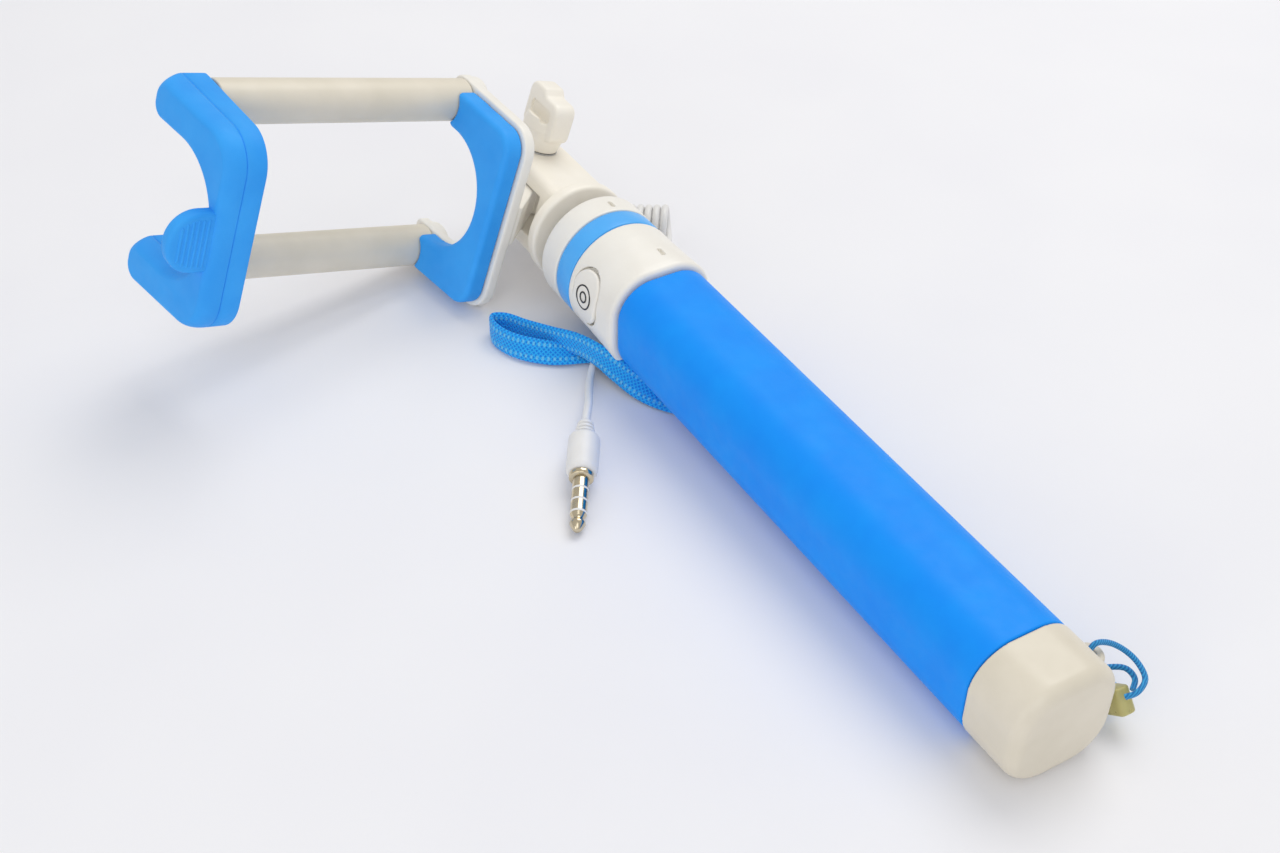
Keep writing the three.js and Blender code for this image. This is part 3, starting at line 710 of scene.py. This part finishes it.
def plug_jack(matrix):
    """The jack's metal, and the three plastic rings that part its poles."""
    long = (PLUG_TIP - PLUG_REAR).length - PLUG_BODY_LONG - GAP
    shaft = 1.75
    tip = long - 4
    metal_profile = [(0, 0), (0, 2.6), (0.85, 2.6), (1, 2.45), (1.15, shaft)]
    rings = [tip * share for share in (0.38, 0.66, 0.95)]
    groove = shaft - 0.15
    for at in rings:
        metal_profile += [(at - 0.28, shaft), (at - 0.24, groove), (at + 0.24, groove), (at + 0.28, shaft)]
    metal_profile += [
        (tip + 0.45, 1.35), (tip + 0.8, 1.12), (tip + 1.15, 1.2), (tip + 1.7, 1.6), (tip + 2.1, 1.66),
        (tip + 2.7, 1.4), (tip + 3.5, 0.9), (long - 0.05, 0.45), (long, 0),
    ]
    matrix = matrix @ Matrix.Translation((PLUG_BODY_LONG + GAP, 0, 0))
    jack = draft(turned(metal_profile, 64))
    place(jack, "jack", matrix, "head", "plug_metal", ["plug_jack"], sharp=50)
    bands = [
        turned([(at - 0.25, 1.4), (at - 0.25, shaft), (at - 0.18, shaft + 0.03), (at + 0.18, shaft + 0.03),
                (at + 0.25, shaft), (at + 0.25, 1.4)], 64)
        for at in rings
    ]
    place(draft(joined(*bands)), "jack_rings", matrix, "head", "cable_white")
    return jack


def make_crimp():
    middle = (-130.4, -16.5, 5.9)
    lean = math.radians(38)
    half = 2.6
    half_thick = 1.7
    outline = rounded([
        (-half, -half_thick, 1),
        (half, -half_thick, 1),
        (half, half_thick, 1),
        (-half, half_thick, 1),
    ], 6)
    crimp = draft(prism(outline, -half, half, 0.5, 4))
    turn = Matrix.Translation(middle) @ Matrix.Rotation(lean, 4, "Y")
    place(crimp, "crimp", TABLE @ turn, "handle", "crimp_plastic", ["strap_crimp"])


def make_cords():
    strap, strap_middle = make_strap()
    loop_line = [TABLE @ point for point in smooth_line(LOOP_ROUTE, 5)]
    loop = round_cord("loop_cord", loop_line, LOOP_THICK, "loop_nylon", "handle", ["strap_loop_cord"])
    make_crimp()
    matrix = plug_matrix()
    body = place(plug_body(), "plug", matrix, "head", "cable_white", ["plug_body"], sharp=50)
    jack = plug_jack(matrix)
    line = cable_line()
    cable_nodes = ["cable_lead", "cable_coil", "cable_tail"]
    cable = round_cord("cable", line, CABLE_THICK, "cable_white", "head", cable_nodes)


make_cords()

# ---- Handle ---------------------------------------------------------------------------------

BUTTON_X = 11.5
BUTTON_DIRECTION = 78
BUTTON_LONG = 9.4
BUTTON_ROUND = 13
BUTTON_TOP = 13.75
BUTTON_TURN = Matrix.Rotation(-math.radians(BUTTON_DIRECTION), 4, "X")


def make_cap():
    start = -134.6
    end = -121.2
    half = 11.6
    corner = 8.6
    edge = 2.8
    inner_floor = -128.3
    rings = square_start(start, half, corner, edge, 10)
    rings += [ring_at(end, half, corner), ring_at(end, BORE), ring_at(inner_floor, BORE)]
    eyelet = Vector((-124.4, -13.4, 0))
    radius = 2.9
    hole = 1.5
    half_high = 2.2
    tongue = prism(rounded([
        (eyelet.x + radius, eyelet.y - radius, radius - 0.1),
        (eyelet.x + radius, 1 - half, 0),
        (eyelet.x - radius, 1 - half, 0),
        (eyelet.x - radius, eyelet.y - radius, radius - 0.1),
    ]), -half_high, half_high, 0.3)
    cap = draft(loft(rings))
    combine(cap, "UNION", tongue)
    combine(cap, "DIFFERENCE", moved(upright(rod(-9, 9, hole, 40)), Matrix.Translation(eyelet)))
    soften(cap, 0.25, 4)
    # The cap takes the cream darkened as painted shade.
    place(cap, "cap", STICK, "handle", "cream_plastic", ["end_cap"], material=SHADED_CREAM)


def make_sleeve():
    start = -120.9
    end = -0.3
    half = 11.5
    corner = 8.5
    edge = 0.5
    lengths = 40
    rings = [ring_at(start, BORE), *square_start(start, half, corner, edge, 4)]
    straight = end - start - 2 * edge
    rings += [ring_at(start + edge + straight * i / lengths, half, corner) for i in range(1, lengths)]
    rings += [*square_end(end, half, corner, edge, 4), ring_at(end, BORE)]
    place(draft(loft(rings, joined=True)), "sleeve", STICK, "handle", "blue_grip", ["grip_sleeve"], sharp=50)


def button_outline(grow=0.0):
    long = BUTTON_LONG / 2 + grow
    high = BUTTON_ROUND / 2 + grow
    corner = long - 0.05
    corners = [(long, high), (-long, high), (-long, -high), (long, -high)]
    return rounded([(*at, corner) for at in corners], 20)


def slot_cutter(low, high, turn):
    """A slot that dips into a round outside, at a turn from straight up."""
    box = block((low, -0.5, 12.3), (high, 0.5, 15))
    return moved(box, Matrix.Rotation(math.radians(turn), 4, "X"))


def make_collar():
    """From square at the sleeve to round, with a hole for the button."""
    start = 0.3
    round_from = 13
    end = 18.2
    half = 12.7
    corner = 9.6
    radius = 13.5
    rings = [ring_at(start, BORE), *square_start(start, half, corner, 1.15, 8)]
    for step in range(2, 13):
        share = step / 12
        size = half + share * (radius - half)
        rings.append(ring_at(start + share * (round_from - start), size, corner + share * (radius - corner)))
    rings += [*square_end(end, radius, radius, 0.4, 3), ring_at(end, BORE)]
    collar = draft(loft(rings, joined=True))
    hole = moved(prism(button_outline(GAP), 8, 20), BUTTON_TURN @ Matrix.Translation((BUTTON_X, 0, 0)))
    combine(collar, "DIFFERENCE", hole, slot_cutter(4.6, 7.2, 14))
    place(soften(collar, 0.2, 3), "collar", STICK, "handle", "white_plastic", ["grip_collar"])


def make_ring():
    start = 18.5
    end = 24
    radius = 13.4
    edge = 0.35
    edges = [*round_start(start, radius, edge, 3), *round_end(end, radius, edge, 3)]
    band = draft(turned([(start, BORE), *edges, (end, BORE)], 128))
    place(band, "collar_band", STICK, "handle", "blue_plastic", ["collar_ring"], sharp=50)


def make_nose():
    """The collar's front, with a smaller mouth that the pole comes out of."""
    start = 24.3
    end = 31.5
    radius = 13.5
    mouth = 8.1
    mouth_start = 29.3
    rim = [*round_start(start, radius, 0.35, 3), *round_end(end, radius, 1.3, 8)]
    inside = [(end, mouth + 0.4), (end - 0.4, mouth), (mouth_start, mouth), (mouth_start, BORE)]
    nose = draft(turned([(start, BORE), *rim, *inside], 128))
    combine(nose, "DIFFERENCE", slot_cutter(25.9, 28.3, 12))
    place(soften(nose, 0.2, 3), "collar_nose", STICK, "handle", "white_plastic", ["collar_front"])


def wrapped(outline, radius):
    """An outline of x and y laid round the pole axis at a radius, its middle straight up."""
    ring = []
    for point in outline:
        angle = point.y / BUTTON_TOP
        ring.append((BUTTON_X + point.x, radius * math.sin(angle), radius * math.cos(angle)))
    return ring


def wrapped_hoop(outline, wide):
    """A thin flat hoop printed on the button: an outline and a smaller one inside it."""
    inner = offset(outline, wide)
    low = BUTTON_TOP - 0.05
    top = BUTTON_TOP + 0.05
    edges = [(outline, low), (outline, top), (inner, top), (inner, low)]
    return loft([wrapped(edge, radius) for edge, radius in edges], joined=True)


def make_button():
    outline = button_outline(0.1)
    lip = button_outline(0.8)
    lip_top = 12.4
    rings = [wrapped(lip, lip_top - 0.45), wrapped(lip, lip_top), wrapped(outline, lip_top)]
    rings += [wrapped(offset(outline, inset), BUTTON_TOP - down)
              for inset, down in reversed(quarter_round(0.5, 5))]
    rings += [wrapped(offset(outline, inset), BUTTON_TOP) for inset in (1, 1.6, 2.4, 3.2, 4, 4.5)]
    button = draft(loft(rings))
    place(button, "button", STICK @ BUTTON_TURN, "shutter", "white_plastic", ["shutter_button"], sharp=50)
    # A symbol of this model's own: two plain circles, one in the other.
    angles = [i / 48 * 2 * math.pi for i in range(48)]
    circle = [Vector((math.cos(angle), math.sin(angle))) for angle in angles]
    hoops = [wrapped_hoop([point * radius for point in circle], 0.36) for radius in (2.9, 1.35)]
    place(draft(joined(*hoops)), "button_symbol", STICK @ BUTTON_TURN, "shutter", "black_plastic", sharp=50)


def make_sections():
    """The five steel tubes, each with its mouth rolled in over the next."""
    count = 5
    widest = 7.8
    step = 1.1
    wall = 0.4
    roll = 3
    for n in range(count):
        radius = widest - n * step
        inner = radius - wall
        low = -110 + 2 * n
        last = n == count - 1
        mouth = 43.3 if last else 32.2 + 0.9 * n
        lip = inner if last else radius - step + GAP
        profile = [(low, inner), (low, radius), *round_end(mouth, radius, 0.3, 4), (mouth, lip)]
        if not last:
            profile += [(mouth - roll, lip), (mouth - roll, inner)]
        tube = draft(turned(profile))
        name = f"section_tube_{n + 1}"
        place(tube, name, HEAD, f"section_{n + 1}", "pole_steel", [f"tube_{n + 1}"], sharp=40)


make_cap()
make_sleeve()
make_collar()
make_ring()
make_nose()
make_button()
make_sections()

# ---- Head -----------------------------------------------------------------------------------

BOLT_HOLE = 2.3


def make_hub():
    """A flange, and a block that is forked for the clamp's lug."""
    start = 37
    end = 40
    flange = 12.4
    half_wide = 8.4
    half_high = 9.3
    socket_end = 43.6
    fork_base = 45
    fork_half = 5.2
    edges = [*round_start(start, flange, 0.8, 6), *round_end(end, flange, 0.5, 4)]
    disc = turned([(start, 0), *edges, (end, 0)], 128)
    outline = rounded([
        (PIVOT + half_wide, half_wide, half_wide - 0.2),
        (end - 1, half_wide, 0),
        (end - 1, -half_wide, 0),
        (PIVOT + half_wide, -half_wide, half_wide - 0.2),
    ], 24)
    fork = block((fork_base, -20, -fork_half), (PIVOT + 20, 20, fork_half))
    socket = rod(start - 1, socket_end, 3.7, 48)
    hole = upright(rod(-20, 20, BOLT_HOLE, 40))
    nut_half = 3.8
    nut_corners = [(math.cos(i * math.pi / 3), math.sin(i * math.pi / 3)) for i in range(6)]
    hexagon = [Vector(corner) * nut_half / math.cos(math.pi / 6) for corner in nut_corners]
    nut_room = prism(hexagon, -half_high - 1, -half_high + 2.6)
    to_pivot = Matrix.Translation((PIVOT, 0, 0))
    hub = draft(prism(outline, -half_high, half_high, 2, 8))
    combine(hub, "UNION", disc)
    combine(hub, "DIFFERENCE", fork, socket, moved(hole, to_pivot), moved(nut_room, to_pivot))
    place(soften(hub, 0.22, 6), "hub_block", HEAD, "head", "cream_plastic", ["hub"])


def make_knob():
    """A round base and a flat wing over it, with a dish in each side of the wing."""
    low = 9.7
    top = 24.6
    neck = 4.2
    shoulder = 5.6
    half_long = 6.8
    half_thick = 2.8
    waist = low + 5.6
    base_top = waist + 3
    base = upright(turned([
        (low, 0), (low, neck), (waist, shoulder), (base_top, shoulder - 0.6), (base_top, 0),
    ], 72))
    stand = Matrix.Rotation(math.radians(90), 4, "X")
    wing = moved(prism(rounded([
        (-half_long, waist - 2, 2),
        (half_long, waist - 2, 2),
        (half_long, top, 2.6),
        (0.6, top, 1),
        (-0.8, top - 1.6, 0.8),
        (-half_long, top - 1.6, 2.4),
    ], 10), -half_thick, half_thick, 0.9, 5), stand)
    dish = rounded([
        (-half_long + 2.4, waist + 2, 1.2),
        (half_long - 2.4, waist + 2, 1.2),
        (half_long - 2.4, top - 4, 1.2),
        (-half_long + 2.4, top - 4, 1.2),
    ], 8)
    knob = draft(base)
    combine(knob, "UNION", wing)
    for low_face in (half_thick - 0.8, -half_thick - 1.2):
        combine(knob, "DIFFERENCE", moved(prism(dish, low_face, low_face + 2), stand))
    combine(knob, "DIFFERENCE", upright(rod(0, low + 7, 2.2, 40)))
    place(soften(knob, 0.2, 6), "knob", SCREW, "thumb_screw", "cream_plastic", ["thumb_knob"])


def make_gland():
    """The ribbed sleeve that the cable leaves the hub through."""
    outside = 8.55
    middle = (41.9, 0, 0)
    shape = turned([
        (outside, 0), (outside, 1.5), (outside + 0.9, 1.5), (outside + 1.2, 1.4), (outside + 1.35, 1.2),
        (outside + 1.7, 1.2), (outside + 2.2, 1.1), (outside + 2.2, 0),
    ], 40)
    turn = Matrix.Translation(middle) @ Matrix.Rotation(-math.pi / 2, 4, "Z")
    place(draft(shape), "gland", HEAD @ turn, "head", "cable_white", ["cable_gland"], sharp=50)


make_hub()
make_knob()
make_gland()

# ---- Clamp ----------------------------------------------------------------------------------


def c_shape(tip, inset, inner, outer_tip, outer_spine, centre=-0.9):
    """A C in the clamp's y and z: two arms that reach back to the tip, and a spine that joins them."""
    lean = (HALF_TIP - HALF_SPINE) / (SPINE - PLATE_TIP)
    edge = SPINE - inset
    bottom = centre + CUTOUT_HALF
    at_tip = HALF_TIP - inset - lean * (tip - PLATE_TIP)
    at_edge = HALF_TIP - inset - lean * (edge - PLATE_TIP)
    return rounded([
        (tip, -CUTOUT_HALF, inner),
        (tip, -at_tip, outer_tip),
        (edge, -at_edge, outer_spine),
        (edge, at_edge, outer_spine),
        (tip, at_tip, outer_tip),
        (tip, CUTOUT_HALF, inner),
        (bottom, CUTOUT_HALF, CUTOUT_HALF - 0.2),
        (bottom, -CUTOUT_HALF, CUTOUT_HALF - 0.2),
    ], 16)


def make_bracket():
    """The clamp's plate, a boss behind each arm, and a lug with an eye for the thumb screw."""
    eye = 7.5
    half_high = 4.9
    half_wide = 3.4
    direction = math.radians(40.7)
    boss_end = PLATE_FACE - 0.6
    boss = turned([(17.5, 0), (17.5, 4.3), (17.8, 5), (18.5, 5.3), (boss_end, 5.3), (boss_end, 0)], 72)
    bracket = draft(to_clamp(prism(c_shape(PLATE_TIP, 0, 1.6, 3.4, 6.5), PLATE_BACK, PLATE_FACE, 0.5, 3)))
    combine(bracket, "UNION", on_arm(boss, 1), on_arm(boss, -1))
    long_bar = block((0, -half_wide, -half_high), (40, half_wide, half_high))
    bar = draft(moved(long_bar, Matrix.Rotation(direction, 4, "Z")))
    combine(bar, "INTERSECT", block((0, -5, -10), (PLATE_FACE - 0.8, SPINE - 0.4, 10)))
    bar_shape = [v.co.copy() for v in bar.data.vertices], [tuple(f.vertices) for f in bar.data.polygons]
    bpy.data.objects.remove(bar)
    knuckle = upright(rod(-half_high, half_high, eye, 96))
    combine(bracket, "UNION", bar_shape, knuckle)
    combine(bracket, "DIFFERENCE", upright(rod(-20, 20, BOLT_HOLE, 40)))
    place(soften(bracket, 0.26, 5), "bracket_plate", CLAMP, "clamp", "white_plastic", ["bracket"])


def make_pad():
    back = PLATE_FACE + GAP
    face = 26.7
    inset = 1.1
    edge = 1.3
    outline = c_shape(-3.4, inset, 1.6, 2, 6.5 - inset)
    rings = [[(p.x, p.y, back) for p in outline]]
    rings += [[(p.x, p.y, face - down) for p in offset(outline, inside)]
              for inside, down in reversed(quarter_round(edge, 8))]
    cushion = draft(to_clamp(loft(rings)))
    arm_hole = rod(back - 2, face + 2, ARM_RADIUS + GAP, 72)
    combine(cushion, "DIFFERENCE", on_arm(arm_hole, 1), on_arm(arm_hole, -1))
    place(soften(cushion, 0.26, 3), "grip_pad", CLAMP, "clamp", "blue_rubber", ["pad"])


def pull_tab(back):
    """A half disc that stands off the jaw, with ribs across the side that a thumb pulls."""
    reach_out = 9.4
    half = 7
    low = 15.6
    high = 18.8
    root = back - 5
    outline = rounded([
        (root, -half, 0),
        (back + reach_out, -half, half - 0.4),
        (back + reach_out, half, half - 0.4),
        (root, half, 0),
    ], 20)
    stand = Matrix.Translation((0, low + high, 0)) @ Matrix.Rotation(math.radians(90), 4, "X")
    shapes = [moved(prism(outline, low, high, 1, 6), stand)]
    arc_from = back + 2.5
    for rib in range(6):
        x = back + 1 + rib * 1.15
        half_chord = math.sqrt(max(0, 1 - ((x - back - 2.5) / 6.9) ** 2)) * half if x > arc_from else half
        long = half_chord - 1.5
        bar = upright(turned([
            (-long, 0), (-long, 0.2), (0.3 - long, 0.36), (long - 0.3, 0.36), (long, 0.2), (long, 0),
        ], 12))
        shapes.append(moved(bar, Matrix.Translation((x, high - 0.12, 0))))
    return shapes


def make_jaw():
    """Both halves and the seam between them. The outer half rounds off, and is blunter at its tips."""
    face = 86.7
    thick = 9.2
    tip_thick = 11
    split = 91.4
    groove = 0.2
    back_inset = 2
    round_steps = 14
    inner = c_shape(PLATE_TIP + 0.4, 0.4, 1.5, 1.6, 8.5, centre=1.7)
    outer = c_shape(PLATE_TIP + 0.4, 0.4, 4.2, 4.6, 8.5, centre=1.7)
    sections = [(inner, inset, face + down) for inset, down in quarter_round(0.5, 4)]
    sections += [(inner, 0, split - groove), (inner, groove * 1.4, split), (inner, 0, split + groove)]
    outer_start = split + groove * 2
    outer_round = face + thick - outer_start
    for step in range(1, round_steps + 1):
        turn = step / round_steps * math.pi / 2
        share = math.sin(turn)
        between = [a.lerp(b, share) for a, b in zip(inner, outer)]
        sections.append((between, back_inset * (1 - math.cos(turn)), outer_start + outer_round * share))
    rings = [[(p.x, p.y, depth) for p in offset(outline, inset)] for outline, inset, depth in sections]
    points, faces = to_clamp(loft(rings))
    grow = (tip_thick / thick - 1) / (SPINE - PLATE_TIP)
    warped = [(face + (x - face) * (1 + grow * (SPINE - y)), y, z) for x, y, z in points]
    jaw = draft(joined((warped, faces), *pull_tab(face + thick)))
    place(jaw, "jaw_grip", CLAMP, "jaw", "blue_rubber", ["jaw_front", "jaw_back"], sharp=55)


def make_arms():
    """Two tubes, closed at the plate and with a lip at the end that the jaw's rods come out of."""
    start = PLATE_FACE + GAP
    end = 86.4
    inner = 3.5
    lip = 2.6
    lip_start = end - 2.4
    closed_to = start + 5
    outside = [(start, 0), (start, ARM_RADIUS), *round_end(end, ARM_RADIUS, 0.4, 4)]
    inside = [(end, lip), (lip_start, lip), (lip_start, inner), (closed_to, inner), (closed_to, 0)]
    for name, side in {"upper": 1, "lower": -1}.items():
        arm = draft(on_arm(turned([*outside, *inside]), side))
        nodes = [f"arm_tube_{name}"]
        # The arms take the cream darkened as painted shade.
        place(arm, f"arm_{name}", CLAMP, "clamp", "white_plastic", nodes, sharp=40, material=SHADED_CREAM)


make_bracket()
make_arms()
make_pad()
make_jaw()

# ---- Table and light --------------------------------------------------------------------------


def make_floor():
    size = 3
    corners = [(-size, -size, 0), (size, -size, 0), (size, size, 0), (-size, size, 0)]
    floor = draft((corners, [(0, 1, 2, 3)]), "floor")
    made = Nodes("pale table", Specular_IOR_Level=0.25)
    where = made.on_object()
    drift = made.spread(made.noise(where, 60, 2), 0, 1)
    made.colour(made.between(drift, linear(243, 243, 246), linear(240, 240, 244)))
    made.roughness(made.spread(made.noise(where, 4), 0.6, 0.75))
    floor.data.materials.append(made.material)


def area_light(name, place_at, aim, size, power, colour):
    lamp = bpy.data.lights.new(name, "AREA")
    lamp.shape = "DISK"
    lamp.size = size
    lamp.energy = power
    lamp.color = colour
    light = bpy.data.objects.new(name, lamp)
    light.location = place_at
    light.rotation_mode = "QUATERNION"
    light.rotation_quaternion = (Vector(aim) - Vector(place_at)).to_track_quat("-Z", "Y")
    bpy.context.scene.collection.objects.link(light)


def make_lights():
    area_light("key", (0.25, -0.5, 0.95), (0, 0, 0), 0.8, 4.4, (1, 0.985, 0.955))
    area_light("fill", (-0.9, 0.5, 0.9), (0, 0, 0), 0.9, 2.4, (0.98, 0.99, 1))
    area_light("front", (-0.35, 0.75, 0.3), (0, -0.03, 0.02), 0.5, 0.9, (1, 0.99, 0.97))
    world = bpy.data.worlds.new("studio")
    world.use_nodes = True
    sky = world.node_tree.nodes["Background"]
    sky.inputs["Color"].default_value = (0.972, 0.972, 0.98, 1)
    sky.inputs["Strength"].default_value = 0.62
    bpy.context.scene.world = world
    bpy.context.scene.view_settings.view_transform = "Standard"


make_floor()
make_lights()
